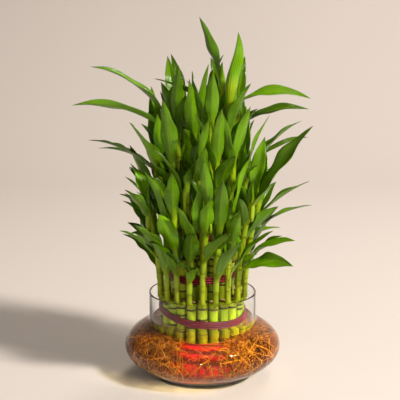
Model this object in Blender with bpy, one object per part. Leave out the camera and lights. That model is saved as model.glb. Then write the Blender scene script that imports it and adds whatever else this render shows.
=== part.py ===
"""Lucky bamboo: three tiers of green canes tied with red ribbon, standing in a glass bowl of water.

All sizes are millimetres, and make_object() turns them into metres. +Z is up, the front faces -Y,
and the origin is the middle of the flat underside of the bowl's foot. Directions round the plant
are degrees from +X, counter-clockwise from above, so the front is at -90.
"""

import math
import random

import bmesh
import bpy
import numpy as np
from mathutils import Matrix, Vector
from mathutils.bvhtree import BVHTree

MM = 0.001
GAP = 0.35  # left between two pieces that touch
SEGMENTS = 32  # facets round a turned piece

# The bowl: a flattened ellipse of blown glass on a thick foot, with a straight neck.
BOWL_RADIUS = 79.0
BOWL_HALF_HEIGHT = 35.0
BOWL_MIDDLE_Z = 32.0
GLASS = 2.4
FOOT_RADIUS = 50.0
FOOT_EDGE = 1.0
FLOOR_Z = 5.0
NECK_RADIUS = 54.0
NECK_INSIDE = NECK_RADIUS - GLASS
RIM_Z = 88.0
RIM_EDGE = 0.8
WATER_Z = 61.0

# Each tier of canes is a ring: how many, the ring's radius to their middles, their cut tops, and where cane 1 stands.
CANE_RINGS = {
    "lower": {"count": 22, "ring": 38.1, "top": 88.5, "first": -90.0},
    "middle": {"count": 16, "ring": 27.4, "top": 129.0, "first": -90.0},
    "upper": {"count": 9, "ring": 16.2, "top": 171.0, "first": -110.0},
    "core": {"count": 3, "ring": 5.6, "top": 168.0, "first": 30.0},
}
CANE_SIDES = 8
CANE_FOOT_Z = FLOOR_Z + GAP
EXIT_BELOW_TOP = (6.5, 2.0)  # a shoot leaves its cane's outer side between these depths below the cut top

# Ribbons round the tiers: middle height, width, how far one side is pulled up, and towards which side.
RIBBON_THICKNESS = 0.9
RIBBONS = {
    "base_ribbon": {"tier": "lower", "z": 27.0, "width": 28.0, "tilt": 0.0, "towards": 0.0},
    "lower_ribbon": {"tier": "lower", "z": 70.5, "width": 8.0, "tilt": 7.0, "towards": 130.0},
    "middle_ribbon": {"tier": "middle", "z": 108.0, "width": 8.0, "tilt": 1.5, "towards": 60.0},
    "upper_ribbon": {"tier": "upper", "z": 148.0, "width": 7.0, "tilt": 1.0, "towards": 200.0},
}

# Shoots: one from the outer side of a cane. A stem ends at a height in "top", "spread" further out than it starts.
SHOOT_TIERS = {
    "lower": {"top": (150.0, 182.0), "spread": (2.0, 10.0), "length": (56.0, 84.0), "climb": (46.0, 68.0)},
    "middle": {"top": (196.0, 228.0), "spread": (4.0, 12.0), "length": (62.0, 90.0), "climb": (54.0, 74.0)},
    "upper": {"top": (238.0, 272.0), "spread": (0.0, 10.0), "length": (60.0, 88.0), "climb": (56.0, 76.0)},
}
# The common blades stay inside a column: its radius at a height, between and beyond these two.
COLUMN = ((130.0, 91.0), (300.0, 66.0))
HIGHEST_COMMON_TIP = 326.0
BARE_LOWER_CANES = (5, 6, 16, 17)  # left and right, where water is poured in past the canes
STEM_SIDES = 4
STEM_OUT = 3.4  # from the cane's side to the stem's middle line
STEM_ABOVE_EXIT = 1.0
STEM_FOOT_RADIUS = 2.7
STEM_RADIUS = 2.5
FIRST_LEAF_AT = 0.14  # share of the stem that is bare
LEAVES_A_SHOOT = 6
SPEAR = (24.0, 40.0)  # the rolled young leaf above the stem
POUR_GAP = {"x": (44.9, 50.9), "y": (-6.0, 6.0), "z": (61.5, 93.0)}  # kept clear on both sides of the neck

# A blade's stations along its length, with the share of its full width there.
STATIONS = ((0.13, 0.42), (0.36, 0.93), (0.60, 0.97), (0.82, 0.60))
BLADE_WIDTH = (12.5, 18.0)
TWISTED_AT = 0.6  # share of its length where a blade has turned by its whole roll
FOLD = 0.11  # depth of a blade's fold, as a share of its width there
BLADE_THICKNESS = 0.5
CLEARANCE = 0.45
OFF_STEM = 0.25  # how far off its own stem a blade's root is when it is tested
PROBE = 0.02  # how far to each side of a wall the test for crossed walls looks
STEEPEST = 84.0  # no blade starts steeper than this, in degrees above the horizon
TRIES = 200

COLOURS = {
    "glass": ((0.86, 0.91, 0.90), 0.05),
    "water": ((0.80, 0.70, 0.52), 0.05),
    "roots": ((0.58, 0.25, 0.05), 0.8),
    "ribbon": ((0.55, 0.01, 0.03), 0.35),
    "cane": ((0.42, 0.50, 0.05), 0.45),
    "leaf": ((0.10, 0.30, 0.02), 0.4),
}

# Shoots that shape the outline: where the stem ends, and how far the rolled young leaf stands above it.
SHAPED_STEMS = {
    ("upper", 2): {"end": (28.0, -12.0, 298.0), "tip": (34.5, -12.0, 352.0), "neck": 5.2},
    ("upper", 3): {"end": (35.0, 8.0, 268.0), "spear": 22.0},
    ("upper", 4): {"end": (20.0, 12.0, 296.0), "spear": 24.0},
    ("upper", 0): {"end": (-7.0, -20.0, 262.0), "spear": 20.0},
    ("upper", 7): {"end": (-30.0, 4.0, 272.0), "spear": 26.0},
    ("upper", 8): {"end": (-27.0, -17.0, 264.0), "spear": 38.0},
    ("middle", 12): {"end": (-45.0, 0.0, 220.0), "spear": 26.0},
    ("middle", 13): {"end": (-42.0, -20.0, 226.0), "spear": 22.0},
    ("lower", 18): {"end": (-53.0, -27.0, 178.0), "spear": 24.0},
    ("lower", 15): {"end": (-52.0, 25.0, 172.0), "spear": 28.0},
    ("lower", 3): {"end": (48.0, -42.0, 190.0), "spear": 22.0},
    ("lower", 4): {"end": (55.0, -25.0, 184.0), "spear": 22.0},
}

# Blades that shape the outline: height on the stem, tip, width, bend along the blade and roll about it in degrees.
SHAPED_BLADES = {
    ("upper", 2): (
        (278.0, (106.0, -14.0, 294.0), 13.0, 44.0, 20.0),
        (256.0, (-50.0, -22.0, 309.0), 15.0, 40.0, 25.0),
    ),
    ("upper", 3): ((250.0, (106.0, 6.0, 279.0), 13.0, 40.0, 30.0),),
    ("upper", 4): (
        (292.0, (0.0, 8.0, 366.0), 14.0, 16.0, 60.0),
        (272.0, (8.0, 22.0, 324.0), 13.0, 14.0, 30.0),
    ),
    ("upper", 0): ((250.0, (3.0, -24.0, 334.0), 10.0, 18.0, 0.0),),
    ("upper", 7): ((262.0, (-111.0, 8.0, 322.0), 15.0, 46.0, 20.0),),
    ("upper", 8): ((252.0, (-127.0, -26.0, 288.0), 13.0, 42.0, 18.0),),
    ("middle", 12): ((212.0, (-114.0, 2.0, 246.0), 14.0, 46.0, 20.0),),
    ("middle", 11): ((204.0, (-106.0, 24.0, 234.0), 11.0, 44.0, 10.0),),
    ("middle", 13): ((218.0, (-69.0, -46.0, 274.0), 20.0, 20.0, 25.0),),
    ("middle", 3): ((214.0, (97.0, -24.0, 271.0), 15.0, 44.0, 20.0),),
    ("middle", 5): ((216.0, (107.0, 30.0, 246.0), 10.0, 34.0, 0.0),),
    ("lower", 18): (
        (166.0, (-75.0, -48.0, 209.0), 15.0, 24.0, 15.0),
        (130.0, (-82.0, -36.0, 164.0), 10.0, 30.0, 0.0),
    ),
    ("lower", 15): ((146.0, (-85.0, 28.0, 189.0), 13.0, 36.0, 10.0),),
    ("lower", 19): ((126.0, (-66.0, -62.0, 174.0), 18.0, 22.0, 15.0),),
    ("lower", 20): ((140.0, (-43.0, -66.0, 188.0), 17.0, 16.0, 10.0),),
    ("lower", 3): (
        (178.0, (105.0, -60.0, 271.0), 20.0, 18.0, 50.0),
        (104.0, (89.0, -52.0, 137.0), 18.0, 34.0, 30.0),
    ),
    ("lower", 4): (
        (172.0, (105.0, -34.0, 211.0), 12.0, 26.0, 15.0),
        (126.0, (91.0, -42.0, 152.0), 12.0, 44.0, 10.0),
    ),
    ("lower", 7): ((142.0, (113.0, 34.0, 171.0), 9.0, 36.0, 0.0),),
}


# ---------- objects ----------


def clear_scene():
    for thing in list(bpy.data.objects):
        bpy.data.objects.remove(thing, do_unlink=True)


def material(slot):
    """The slot's Principled material, made the first time it is asked for."""
    found = bpy.data.materials.get(slot)
    if found:
        return found
    made = bpy.data.materials.new(slot)
    made.use_nodes = True
    shader = made.node_tree.nodes["Principled BSDF"]
    colour, roughness = COLOURS[slot]
    shader.inputs["Base Color"].default_value = (*colour, 1.0)
    shader.inputs["Roughness"].default_value = roughness
    shader.inputs["Metallic"].default_value = 0.0
    if slot in ("glass", "water"):
        shader.inputs["Transmission Weight"].default_value = 1.0
    return made


def make_object(name, mesh_data, slot):
    """Turns a finished bmesh, in millimetres, into the scene's object called name."""
    bmesh.ops.recalc_face_normals(mesh_data, faces=mesh_data.faces)
    if mesh_data.calc_volume(signed=True) < 0:
        bmesh.ops.reverse_faces(mesh_data, faces=mesh_data.faces)
    bmesh.ops.scale(mesh_data, vec=(MM, MM, MM), verts=mesh_data.verts)
    mesh = bpy.data.meshes.new(name)
    mesh_data.to_mesh(mesh)
    mesh_data.free()
    mesh.materials.append(material(slot))
    mesh.shade_smooth()
    mesh.set_sharp_from_angle(angle=math.radians(35))
    made = bpy.data.objects.new(name, mesh)
    bpy.context.scene.collection.objects.link(made)
    return made


def turned(name, profile, slot, closed=False):
    """Spins a profile of (radius, z) points round the Z axis. A closed profile stays clear of the axis."""
    mesh = bmesh.new()
    points = [mesh.verts.new((radius, 0.0, z)) for radius, z in profile]
    ends = points[1:] + points[:1] if closed else points[1:]
    edges = [mesh.edges.new(pair) for pair in zip(points, ends)]
    bmesh.ops.spin(
        mesh, geom=points + edges, axis=(0, 0, 1), cent=(0, 0, 0), angle=math.tau, steps=SEGMENTS, use_merge=True
    )
    bmesh.ops.remove_doubles(mesh, verts=mesh.verts, dist=0.001)
    return make_object(name, mesh, slot)


# ---------- the bowl, its water and the roots ----------


def bowl_arc(inset, low_radius, high_radius, count):
    """Points of the bowl's wall, drawn in by inset: from low_radius by the floor, out and up to high_radius."""
    wide, tall = BOWL_RADIUS - inset, BOWL_HALF_HEIGHT - inset
    low, high = -math.acos(low_radius / wide), math.acos(high_radius / wide)
    turns = [low + (high - low) * step / (count - 1) for step in range(count)]
    return [(wide * math.cos(turn), BOWL_MIDDLE_Z + tall * math.sin(turn)) for turn in turns]


def inside_floor_radius(inset):
    """Where the bowl's inner wall, drawn in by inset, meets its flat floor."""
    drop = (BOWL_MIDDLE_Z - FLOOR_Z - (inset - GLASS)) / (BOWL_HALF_HEIGHT - inset)
    return (BOWL_RADIUS - inset) * math.sqrt(1 - drop * drop)


def glass_vase():
    outside = bowl_arc(0.0, FOOT_RADIUS + 1.6, NECK_RADIUS + 1.4, 11)
    inside = bowl_arc(GLASS, inside_floor_radius(GLASS), NECK_INSIDE + 1.2, 10)
    profile = [
        (0.0, 0.0),
        (FOOT_RADIUS - FOOT_EDGE, 0.0),
        (FOOT_RADIUS, FOOT_EDGE),
        (FOOT_RADIUS, outside[0][1] - 1.2),
        *outside,
        (NECK_RADIUS, outside[-1][1] + 2.2),
        (NECK_RADIUS, RIM_Z - RIM_EDGE),
        (NECK_RADIUS - RIM_EDGE, RIM_Z),
        (NECK_INSIDE + RIM_EDGE, RIM_Z),
        (NECK_INSIDE, RIM_Z - RIM_EDGE),
        (NECK_INSIDE, inside[-1][1] + 2.2),
        *reversed(inside),
        (0.0, FLOOR_Z),
    ]
    return turned("glass_vase", profile, "glass")


ROOTS_INSET = GLASS + 3.6  # from the bowl's outside to the root mass
ROOTS_FOOT_Z = 7.4
ROOTS_TOP_Z = 46.0


def cane_radius(tier):
    """The canes of a ring stand side by side, GAP apart."""
    ring = CANE_RINGS[tier]
    return ring["ring"] * math.sin(math.pi / ring["count"]) - GAP / 2


def cane_reach(tier):
    """How far the outermost corners of a tier's canes are from the axis."""
    half_turn = math.pi / CANE_SIDES
    flat = CANE_RINGS[tier]["ring"] + cane_radius(tier) * math.cos(half_turn)
    return math.hypot(flat, cane_radius(tier) * math.sin(half_turn))


def ribbon_inside(tier):
    """A ribbon's facets clear the canes, also at the middle of a facet."""
    return (cane_reach(tier) + GAP / 2) / math.cos(math.pi / SEGMENTS)


def ribbon_outside(tier):
    return ribbon_inside(tier) + RIBBON_THICKNESS


def root_outline(spare):
    """The root mass from its foot out and up to its top, grown by spare."""
    inset = ROOTS_INSET - spare
    wall = bowl_arc(inset, 54.0, 62.0, 7)
    at_canes = ribbon_inside("lower")
    return at_canes, [(at_canes + 0.3, ROOTS_FOOT_Z - spare), *wall, (56.0, ROOTS_TOP_Z + spare)]


def root_mass():
    """A ring of fibrous root round the canes' feet, which reaches in under the base ribbon to the canes."""
    at_canes, outline = root_outline(0.0)
    ribbon = RIBBONS["base_ribbon"]
    past_ribbon = ribbon_outside("lower") + GAP
    under_ribbon = ribbon["z"] - ribbon["width"] / 2 - GAP
    profile = [
        *outline,
        (past_ribbon, ROOTS_TOP_Z - 2.0),
        (past_ribbon, under_ribbon),
        (at_canes, under_ribbon - 0.4),
    ]
    return turned("root_mass", profile, "roots", closed=True)


def water():
    """What the roots and canes leave of the bowl, up to the water line in the neck."""
    inset = GLASS + GAP
    hole = ribbon_outside("lower") + GAP + 0.2
    neck = NECK_INSIDE - GAP
    wall = bowl_arc(inset, hole + 1.5, neck + 1.0, 9)
    _, outline = root_outline(GAP)
    profile = [
        (hole, WATER_Z),
        (neck, WATER_Z),
        (neck, wall[-1][1] + 1.0),
        *reversed(wall),
        (hole, ROOTS_FOOT_Z - GAP - 0.3),
        *outline[1:],
        (hole, ROOTS_TOP_Z + GAP),
    ]
    return turned("water", profile, "water", closed=True)


# ---------- canes and ribbons ----------


def polar(radius, degrees, z):
    turn = math.radians(degrees)
    return Vector((radius * math.cos(turn), radius * math.sin(turn), z))


def cane_direction(tier, number):
    return CANE_RINGS[tier]["first"] + number * 360.0 / CANE_RINGS[tier]["count"]


def cane_corners(tier, number, z):
    """A cane's corners at a height. Corners 0 and 1 are those of its outward side."""
    out = cane_direction(tier, number)
    middle = polar(CANE_RINGS[tier]["ring"], out, z)
    step = 360.0 / CANE_SIDES
    return [middle + polar(cane_radius(tier), out + step * (side - 0.5), 0.0) for side in range(CANE_SIDES)]


def cane_solid(tier, number):
    """A cane without its shoot, for testing what touches it."""
    rings = [cane_corners(tier, number, z) for z in (CANE_FOOT_Z, CANE_RINGS[tier]["top"])]
    ends = [tuple(range(CANE_SIDES)), tuple(range(CANE_SIDES, 2 * CANE_SIDES))]
    return rings[0] + rings[1], tube_faces(2, CANE_SIDES, tip=False) + ends


def ribbon_height(ribbon, turn):
    return ribbon["z"] + ribbon["tilt"] * math.cos(turn - math.radians(ribbon["towards"]))


def ribbon_band(name, ribbon):
    """A flat band round a tier, pulled up on one side."""
    inside, outside = ribbon_inside(ribbon["tier"]), ribbon_outside(ribbon["tier"])
    half = ribbon["width"] / 2
    mesh = bmesh.new()
    rings = []
    for step in range(SEGMENTS):
        turn = math.tau * step / SEGMENTS
        middle = ribbon_height(ribbon, turn)
        corners = ((inside, -half), (outside, -half), (outside, half), (inside, half))
        rings.append(
            [mesh.verts.new((r * math.cos(turn), r * math.sin(turn), middle + rise)) for r, rise in corners]
        )
    for step in range(SEGMENTS):
        here, there = rings[step], rings[(step + 1) % SEGMENTS]
        for side in range(4):
            across = (side + 1) % 4
            mesh.faces.new((here[side], there[side], there[across], here[across]))
    return make_object(name, mesh, "ribbon")


# ---------- what is in the way ----------


class Placed:
    """The pieces placed so far, as search trees that a new stem or blade is tested against."""

    def __init__(self):
        self.found = []

    def add(self, points, faces, owner):
        low = Vector(map(min, zip(*points)))
        high = Vector(map(max, zip(*points)))
        self.found.append((low, high, BVHTree.FromPolygons(points, faces), owner))

    def blocked(self, points, faces, but_not=()):
        low = Vector(map(min, zip(*points)))
        high = Vector(map(max, zip(*points)))
        tree = None
        for other_low, other_high, other, owner in self.found:
            apart = any(low[i] > other_high[i] or high[i] < other_low[i] for i in range(3))
            if apart or owner in but_not:
                continue
            tree = tree or BVHTree.FromPolygons(points, faces)
            if tree.overlap(other):
                return True
        return False


def tube_faces(ring_count, sides, tip):
    """Faces that join rings of points one after another, with an end point where tip is true."""
    faces = []
    for ring in range(ring_count - 1):
        for side in range(sides):
            here, there = ring * sides, (ring + 1) * sides
            across = (side + 1) % sides
            faces.append((here + side, here + across, there + across, there + side))
    if tip:
        last, end = (ring_count - 1) * sides, ring_count * sides
        faces += [(last + side, last + (side + 1) % sides, end) for side in range(sides)]
    return faces


def windings(corners, spots):
    """How often a skin of triangles wraps round each spot: once in its material, never outside it."""
    seen = corners[None] - spots[:, None, None]
    a, b, c = seen[:, :, 0], seen[:, :, 1], seen[:, :, 2]
    la, lb, lc = (np.linalg.norm(side, axis=2) for side in (a, b, c))
    over = (a * np.cross(b, c)).sum(axis=2)
    under = la * lb * lc + (a * b).sum(axis=2) * lc + (b * c).sum(axis=2) * la + (c * a).sum(axis=2) * lb
    return np.arctan2(over, under).sum(axis=1) / (2 * math.pi)


def grown_wrong(points, faces, stem_points, stem_faces):
    """Whether a blade's closed skin passes through itself or into its stem, or is inside out anywhere."""
    tree = BVHTree.FromPolygons(points, faces)
    for one, other in tree.overlap(tree):
        if one < other and not set(faces[one]) & set(faces[other]):
            return True
    corners = np.array([[points[index] for index in face] for face in faces])
    normals = np.cross(corners[:, 1] - corners[:, 0], corners[:, 2] - corners[:, 0])
    off = PROBE * normals / np.linalg.norm(normals, axis=1)[:, None]
    centres = corners.mean(axis=1)
    if (windings(corners, centres - off) < 0.9).any() or (abs(windings(corners, centres + off)) > 0.1).any():
        return True
    halves = [half for face in stem_faces for half in (face[:3], face[2:] + face[:1]) if len(half) == 3]
    stem = np.array([[stem_points[index] for index in half] for half in halves])
    drawn = slice(0, len(faces) - 1)  # all but the root, which lies on the stem
    return bool((abs(windings(stem, (centres + off)[drawn])) > 0.5).any())


# ---------- stems ----------


class Stem:
    """A shoot's stem: it stands against a cane, leans away as it rises and ends in a rolled young leaf."""

    def __init__(self, tier, number, chance):
        self.key = (tier, number)
        rules = SHOOT_TIERS[tier]
        self.out = cane_direction(tier, number)
        foot_radius = cane_reach(tier) + STEM_OUT
        foot_z = CANE_RINGS[tier]["top"] - EXIT_BELOW_TOP[1] + STEM_ABOVE_EXIT
        self.foot = polar(foot_radius, self.out, foot_z)
        reach = foot_radius + chance.uniform(*rules["spread"])
        end = polar(reach, self.out + chance.uniform(-6, 6), chance.uniform(*rules["top"]))
        spear = chance.uniform(*SPEAR)
        shaped = SHAPED_STEMS.get(self.key, {})
        self.end = Vector(shaped.get("end", end))
        self.neck = shaped.get("neck", STEM_RADIUS + 0.2)
        lean = (self.end - self.foot).normalized()
        drift = Vector((chance.uniform(-3, 3), chance.uniform(-3, 3), 0))
        self.tip = self.end + Vector((lean.x * 8, lean.y * 8, shaped.get("spear", spear))) + drift
        self.tip = Vector(shaped.get("tip", self.tip))
        rise = (1 - FIRST_LEAF_AT) / LEAVES_A_SHOOT
        self.levels = [0.0] + [FIRST_LEAF_AT + rise * step for step in range(LEAVES_A_SHOOT + 1)]
        self.blades = {}

    def point(self, share):
        """The stem's middle line: straight up at its foot, then leaning more and more."""
        across = self.end - self.foot
        return self.foot + Vector((across.x * share**2, across.y * share**2, across.z * share))

    def radius(self, level):
        if level == 0:
            return STEM_FOOT_RADIUS
        return self.neck if level == len(self.levels) - 1 else STEM_RADIUS

    def ring(self, level, spare=0.0):
        """The corners of the stem at one of its levels."""
        middle, radius = self.point(self.levels[level]), self.radius(level) + spare
        step = 360.0 / STEM_SIDES
        return [middle + polar(radius, self.out + step * (side - 0.5), 0.0) for side in range(STEM_SIDES)]

    def side_towards(self, heading):
        """Which of the stem's sides faces that way."""
        step = 360.0 / STEM_SIDES
        return round((heading - self.out) / step) % STEM_SIDES

    def solid(self, spare):
        points = [corner for level in range(len(self.levels)) for corner in self.ring(level, spare)]
        return points + [self.tip], tube_faces(len(self.levels), STEM_SIDES, tip=True)


# ---------- blades ----------


class Blade:
    """A leaf blade from foot to tip: an arc that starts steeper than it ends, by bend, turned about itself by roll."""

    def __init__(self, root, tip, width, bend, roll):
        self.root = root
        self.foot = foot = (root[0] + root[1]) / 2
        self.tip, self.width = tip, width
        self.along = (tip - foot).normalized()
        self.chord = (tip - foot).length
        upright = Vector((0, 0, 1)) - self.along * self.along.z
        self.rise = upright.normalized()
        slope = math.degrees(math.asin(self.along.z))
        self.half = math.radians(max(4.0, min(bend / 2, STEEPEST - slope)))
        self.roll = math.radians(roll)
        self.side = self.rise.cross(self.along)

    def frame(self, share):
        """Middle, sideways and upward directions of the blade at a share of its length."""
        turn = self.half * (1 - 2 * share)
        size = self.chord / (2 * math.sin(self.half))
        middle = self.foot + size * (
            (math.sin(self.half) - math.sin(turn)) * self.along + (math.cos(turn) - math.cos(self.half)) * self.rise
        )
        heading = math.cos(turn) * self.along + math.sin(turn) * self.rise
        twist = Matrix.Rotation(self.roll * min(1.0, share / TWISTED_AT), 3, heading)
        side = twist @ self.side
        return middle, side, heading.cross(side)

    def sections(self):
        """For each station the two edges and the keel, and last the tip."""
        found = []
        for share, wide in STATIONS:
            middle, side, up = self.frame(share)
            half = self.width * wide / 2
            keel = FOLD * 2 * half + BLADE_THICKNESS
            found.append((middle - side * half, middle + side * half, middle - up * keel))
        return found

    def skin(self):
        """The blade's corners, root first, and the triangles drawn over them, without the one on the stem."""
        rings = [self.root, *self.sections()]
        points = [Vector(corner) for ring in rings for corner in ring] + [self.tip]
        faces = []
        for ring in range(len(rings) - 1):
            for side in range(3):
                left, right = 3 * ring + side, 3 * ring + (side + 1) % 3
                start, beside, far = (points[index] - points[right] for index in (left, left + 3, right + 3))
                if start.cross(beside).dot(far) <= 0:  # of the two ways to split it, the one that bulges outwards
                    faces += [(right, left, left + 3), (right, left + 3, right + 3)]
                else:
                    faces += [(right, left, right + 3), (left, left + 3, right + 3)]
        last = 3 * (len(rings) - 1)
        faces += [(last + (side + 1) % 3, last + side, len(points) - 1) for side in range(3)]
        return points, faces

    def solid(self, spare):
        """The blade grown by spare on every side but the stem's, for testing what it would touch."""
        left, right, keel = self.root
        off_stem = (right - left).cross(keel - left).normalized() * -OFF_STEM
        points = [corner + off_stem for corner in (left, self.foot, right, keel)]
        for share, wide in STATIONS:
            middle, side, up = self.frame(share)
            half = self.width * wide / 2
            keel = FOLD * 2 * half + BLADE_THICKNESS
            points += [
                middle - side * (half + spare),
                middle + up * spare,
                middle + side * (half + spare),
                middle - up * (keel + spare),
            ]
        return points + [self.tip + self.along * spare], tube_faces(len(STATIONS) + 1, 4, tip=True)


def inside_column(tip):
    (low, wide), (high, narrow) = COLUMN
    share = min(1.0, max(0.0, (tip.z - low) / (high - low)))
    return tip.z < HIGHEST_COMMON_TIP and math.hypot(tip.x, tip.y) < wide + (narrow - wide) * share


def try_blade(placed, stem, level, make, within=False):
    """Puts the first blade that touches nothing on the stem at that level. make(attempt) offers one."""
    for attempt in range(TRIES):
        heading, tip_of, width, bend, roll = make(attempt)
        side = stem.side_towards(heading)
        across = (side + 1) % STEM_SIDES
        upper, lower = stem.ring(level + 1), stem.ring(level)
        foot = (upper[side] + upper[across]) / 2
        blade = Blade((upper[side], upper[across], lower[side]), tip_of(foot), width, bend, roll)
        if within and not inside_column(blade.tip):
            continue
        points, faces = blade.solid(CLEARANCE)
        if placed.blocked(points, faces):
            continue
        own_points, own_faces = blade.skin()
        if not grown_wrong(own_points, own_faces + [(0, 1, 2)], *stem.solid(0.0)):
            placed.add(points, faces, stem.key)
            stem.blades[level] = (side, blade)
            return True
    return False


def shaped_blade(placed, stem, spec, chance):
    """A blade of the outline, moved only as far as its neighbours make it."""
    height, tip, width, bend, roll = spec
    free = [level for level in range(1, LEAVES_A_SHOOT + 1) if level not in stem.blades]
    level = min(free, key=lambda one: abs(stem.ring(one + 1 if one < LEAVES_A_SHOOT + 1 else one)[0].z - height))

    def make(attempt):
        stray = 0.07 * attempt
        moved = Vector(tip) + Vector([chance.uniform(-stray, stray) for _ in range(3)])
        across = moved - stem.point(stem.levels[level])
        heading = math.degrees(math.atan2(across.y, across.x)) + chance.uniform(-stray, stray) * 4
        turned_by = roll + chance.uniform(-stray, stray) * 3
        bent_by = max(8.0, bend + chance.uniform(-stray, stray) * 2)
        return heading, lambda foot: moved, width * (1 - 0.0012 * attempt), bent_by, turned_by

    return try_blade(placed, stem, level, make)


def common_blade(placed, stem, level, chance):
    """A blade that follows the shoot's spiral, outwards low on the stem and upwards near its end."""
    rules = SHOOT_TIERS[stem.key[0]]
    share = (level - 1) / (LEAVES_A_SHOOT - 1)
    spiral = (137.5 * level + 60.0 * stem.key[1]) % 360.0 - 180.0
    outwards = stem.out + spiral * 0.62
    climb = rules["climb"][0] + (rules["climb"][1] - rules["climb"][0]) * share
    longest = chance.uniform(*rules["length"])
    wide = chance.uniform(*BLADE_WIDTH)

    def make(attempt):
        stray = 8.0 + 0.45 * attempt
        heading = outwards + chance.uniform(-stray, stray)
        slope = math.radians(min(82.0, climb + chance.uniform(-0.5, 1.0) * stray * 0.4))
        length = longest * (1 - 0.0022 * attempt)
        offset = polar(length * math.cos(slope), heading, length * math.sin(slope))
        width = wide * (1 - 0.0018 * attempt)
        return heading, lambda foot: foot + offset, width, chance.uniform(22, 62), chance.uniform(-28, 28)

    return try_blade(placed, stem, level, make, within=True)


# ---------- shoots ----------


def cane_object(tier, number, stem):
    """One closed body that grew as one: a cane, with its shoot drawn out of the cane's outward side."""
    top = CANE_RINGS[tier]["top"]
    heights = (CANE_FOOT_Z, top - EXIT_BELOW_TOP[0], top - EXIT_BELOW_TOP[1], top) if stem else (CANE_FOOT_Z, top)
    mesh = bmesh.new()
    rings = [[mesh.verts.new(corner) for corner in cane_corners(tier, number, z)] for z in heights]
    mesh.faces.new(list(reversed(rings[0])))
    mesh.faces.new(rings[-1])
    for level in range(len(rings) - 1):
        for side in range(CANE_SIDES):
            if not (level == 1 and side == 0):
                side_face(mesh, rings[level], rings[level + 1], side)
    if stem:
        low, high = rings[1], rings[2]
        draw_stem(mesh, [low[0], low[1], high[1], high[0]], stem)
    return make_object(f"{tier}_cane_{number + 1:02d}", mesh, "leaf" if stem else "cane")


def side_face(mesh, low, high, side):
    across = (side + 1) % len(low)
    return mesh.faces.new((low[side], low[across], high[across], high[side]))


def draw_stem(mesh, opening, stem):
    """Draws the stem out of the opening and up, ring by ring, with a blade out of one side at each leafy ring."""
    rings = [opening] + [[mesh.verts.new(corner) for corner in stem.ring(level)] for level in range(len(stem.levels))]
    for level in range(len(rings) - 1):
        low, high = rings[level], rings[level + 1]
        leafy, blade = stem.blades.get(level - 1, (None, None))
        for side in range(STEM_SIDES):
            if side != leafy:
                side_face(mesh, low, high, side)
                continue
            across = (side + 1) % STEM_SIDES
            mesh.faces.new((low[side], low[across], high[across]))
            draw_blade(mesh, (high[side], high[across], low[side]), blade)
    top = mesh.faces.new(rings[-1])
    centre = bmesh.ops.poke(mesh, faces=[top])["verts"][0]
    centre.co = stem.tip


def draw_blade(mesh, root, blade):
    """Draws the blade's skin out from its root, a triangle of the stem's side."""
    points, faces = blade.skin()
    corners = list(root) + [mesh.verts.new(point) for point in points[len(root) :]]
    for face in faces:
        mesh.faces.new([corners[index] for index in face])


def free_stem(placed, tier, number):
    """The first stem from that cane that touches nothing but the cane."""
    for attempt in range(TRIES):
        stem = Stem(tier, number, random.Random(f"{tier} stem {number} try {attempt}"))
        points, faces = stem.solid(CLEARANCE)
        if not placed.blocked(points, faces, but_not=(stem.key,)):
            placed.add(*stem.solid(0.0), stem.key)
            return stem
    print("no room for the stem", tier, number)
    return None


def grow_canes(placed):
    """Every stem first, then the blades of the outline, then the common ones from the top down."""
    stems = {}
    keys = [(tier, number) for tier, ring in CANE_RINGS.items() for number in range(ring["count"])]
    for key in keys:
        placed.add(*cane_solid(*key), key)
    for tier, number in keys:
        if tier in SHOOT_TIERS and not (tier == "lower" and number in BARE_LOWER_CANES):
            stem = free_stem(placed, tier, number)
            if stem:
                stems[stem.key] = stem
    for key, specs in SHAPED_BLADES.items():
        for order, spec in enumerate(specs):
            if not shaped_blade(placed, stems[key], spec, random.Random(f"{key} shaped {order}")):
                print("no room for the shaped blade", key, spec)
    for level in range(LEAVES_A_SHOOT, 0, -1):
        for stem in reversed(stems.values()):
            if level not in stem.blades:
                common_blade(placed, stem, level, random.Random(f"{stem.key} blade {level}"))
    for key in keys:
        cane_object(*key, stems.get(key))
    print("shoots", len(stems), "blades", sum(len(stem.blades) for stem in stems.values()))


def evaluated_solid(thing):
    """An object's points in millimetres and its faces, as Placed takes them."""
    points = [vertex.co / MM for vertex in thing.data.vertices]
    return points, [tuple(face.vertices) for face in thing.data.polygons]


def keep_pour_gaps(placed):
    """Nothing grows into the two gaps between the canes and the neck where water is poured in."""
    for side in (-1, 1):
        xs = [side * x for x in POUR_GAP["x"]]
        points = [Vector((x, y, z)) for z in POUR_GAP["z"] for y in POUR_GAP["y"] for x in xs]
        faces = [(0, 1, 3, 2), (4, 5, 7, 6), (0, 1, 5, 4), (2, 3, 7, 6), (0, 2, 6, 4), (1, 3, 7, 5)]
        placed.add(points, faces, "pour gap")


def build():
    clear_scene()
    placed = Placed()
    for thing in (glass_vase(), water(), root_mass()):
        placed.add(*evaluated_solid(thing), thing.name)
    for name, ribbon in RIBBONS.items():
        placed.add(*evaluated_solid(ribbon_band(name, ribbon)), name)
    keep_pour_gaps(placed)
    grow_canes(placed)


build()
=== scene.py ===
import math
import random

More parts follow.
